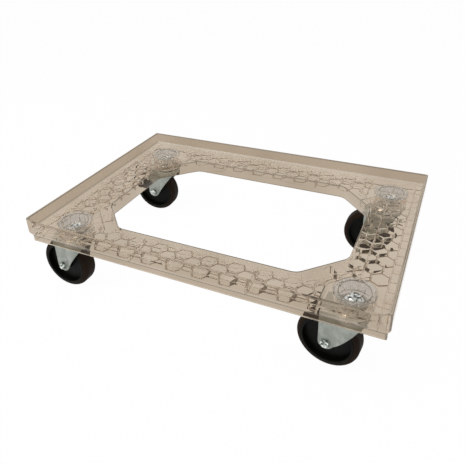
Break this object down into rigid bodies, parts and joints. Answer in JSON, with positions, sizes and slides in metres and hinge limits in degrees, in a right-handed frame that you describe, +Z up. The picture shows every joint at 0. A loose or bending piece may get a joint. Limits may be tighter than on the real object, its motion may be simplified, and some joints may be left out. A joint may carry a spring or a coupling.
{
  "type": "crate dolly",
  "caption": "Low dolly for stacking crates: a clear ribbed plastic deck with a raised rim and an eight-sided opening, on swivel castors.",
  "frame": {"origin": "on the floor below the middle of the deck", "axes": "+X along the deck's long side, +Y to its back long side, +Z up; the wheels stand on z = 0"},
  "size_m": [0.6439, 0.42, 0.168],
  "materials": {
    "clear_plastic": "clear, slightly smoky tan injection-moulded plastic",
    "zinc_sheet": "pressed steel sheet, zinc plated, dull",
    "bright_zinc": "bright zinc-plated steel",
    "bearing_steel": "plain ground steel",
    "black_core": "black moulded plastic, satin",
    "dark_rubber": "black rubber with a brown cast on the tread"
  },
  "bodies": {
    "deck": {"deck_frame": "clear_plastic", "front_left_mount_bolt": "bright_zinc", "front_left_mount_washer": "bright_zinc", "front_left_upper_race": "bright_zinc", "front_left_ball_ring": "bearing_steel", "front_left_lower_race": "bright_zinc", "front_left_lock_nut": "bright_zinc", "front_right_mount_bolt": "bright_zinc", "front_right_mount_washer": "bright_zinc", "front_right_upper_race": "bright_zinc", "front_right_ball_ring": "bearing_steel", "front_right_lower_race": "bright_zinc", "front_right_lock_nut": "bright_zinc", "back_left_mount_bolt": "bright_zinc", "back_left_mount_washer": "bright_zinc", "back_left_upper_race": "bright_zinc", "back_left_ball_ring": "bearing_steel", "back_left_lower_race": "bright_zinc", "back_left_lock_nut": "bright_zinc", "back_right_mount_bolt": "bright_zinc", "back_right_mount_washer": "bright_zinc", "back_right_upper_race": "bright_zinc", "back_right_ball_ring": "bearing_steel", "back_right_lower_race": "bright_zinc", "back_right_lock_nut": "bright_zinc"},
    "front_left_castor": {"front_left_fork": "zinc_sheet", "front_left_axle_bolt": "bright_zinc", "front_left_axle_nut": "bright_zinc", "front_left_axle_sleeve": "bearing_steel"},
    "front_left_wheel": {"front_left_wheel_core": "black_core", "front_left_tyre": "dark_rubber"},
    "front_right_castor": {"front_right_fork": "zinc_sheet", "front_right_axle_bolt": "bright_zinc", "front_right_axle_nut": "bright_zinc", "front_right_axle_sleeve": "bearing_steel"},
    "front_right_wheel": {"front_right_wheel_core": "black_core", "front_right_tyre": "dark_rubber"},
    "back_left_castor": {"back_left_fork": "zinc_sheet", "back_left_axle_bolt": "bright_zinc", "back_left_axle_nut": "bright_zinc", "back_left_axle_sleeve": "bearing_steel"},
    "back_left_wheel": {"back_left_wheel_core": "black_core", "back_left_tyre": "dark_rubber"},
    "back_right_castor": {"back_right_fork": "zinc_sheet", "back_right_axle_bolt": "bright_zinc", "back_right_axle_nut": "bright_zinc", "back_right_axle_sleeve": "bearing_steel"},
    "back_right_wheel": {"back_right_wheel_core": "black_core", "back_right_tyre": "dark_rubber"}
  },
  "joints": [
    {"name": "front_left_swivel", "type": "hinge", "parent": "deck", "child": "front_left_castor", "pos_m": [-0.2515, -0.1548, 0.113], "axis": [0, 0, 1], "continuous": true},
    {"name": "front_left_roll", "type": "hinge", "parent": "front_left_castor", "child": "front_left_wheel", "pos_m": [-0.28368, -0.1548, 0.05], "axis": [0, -1, 0], "continuous": true},
    {"name": "front_right_swivel", "type": "hinge", "parent": "deck", "child": "front_right_castor", "pos_m": [0.2515, -0.1548, 0.113], "axis": [0, 0, 1], "continuous": true},
    {"name": "front_right_roll", "type": "hinge", "parent": "front_right_castor", "child": "front_right_wheel", "pos_m": [0.21946, -0.15171, 0.05], "axis": [-0.0958, -0.9954, 0], "continuous": true},
    {"name": "back_left_swivel", "type": "hinge", "parent": "deck", "child": "back_left_castor", "pos_m": [-0.2515, 0.1548, 0.113], "axis": [0, 0, 1], "continuous": true},
    {"name": "back_left_roll", "type": "hinge", "parent": "back_left_castor", "child": "back_left_wheel", "pos_m": [-0.28365, 0.1534, 0.05], "axis": [0.0436, -0.999, 0], "continuous": true},
    {"name": "back_right_swivel", "type": "hinge", "parent": "deck", "child": "back_right_castor", "pos_m": [0.2515, 0.1548, 0.113], "axis": [0, 0, 1], "continuous": true},
    {"name": "back_right_roll", "type": "hinge", "parent": "back_right_castor", "child": "back_right_wheel", "pos_m": [0.21934, 0.15368, 0.05], "axis": [0.0349, -0.9994, 0], "continuous": true}
  ]
}
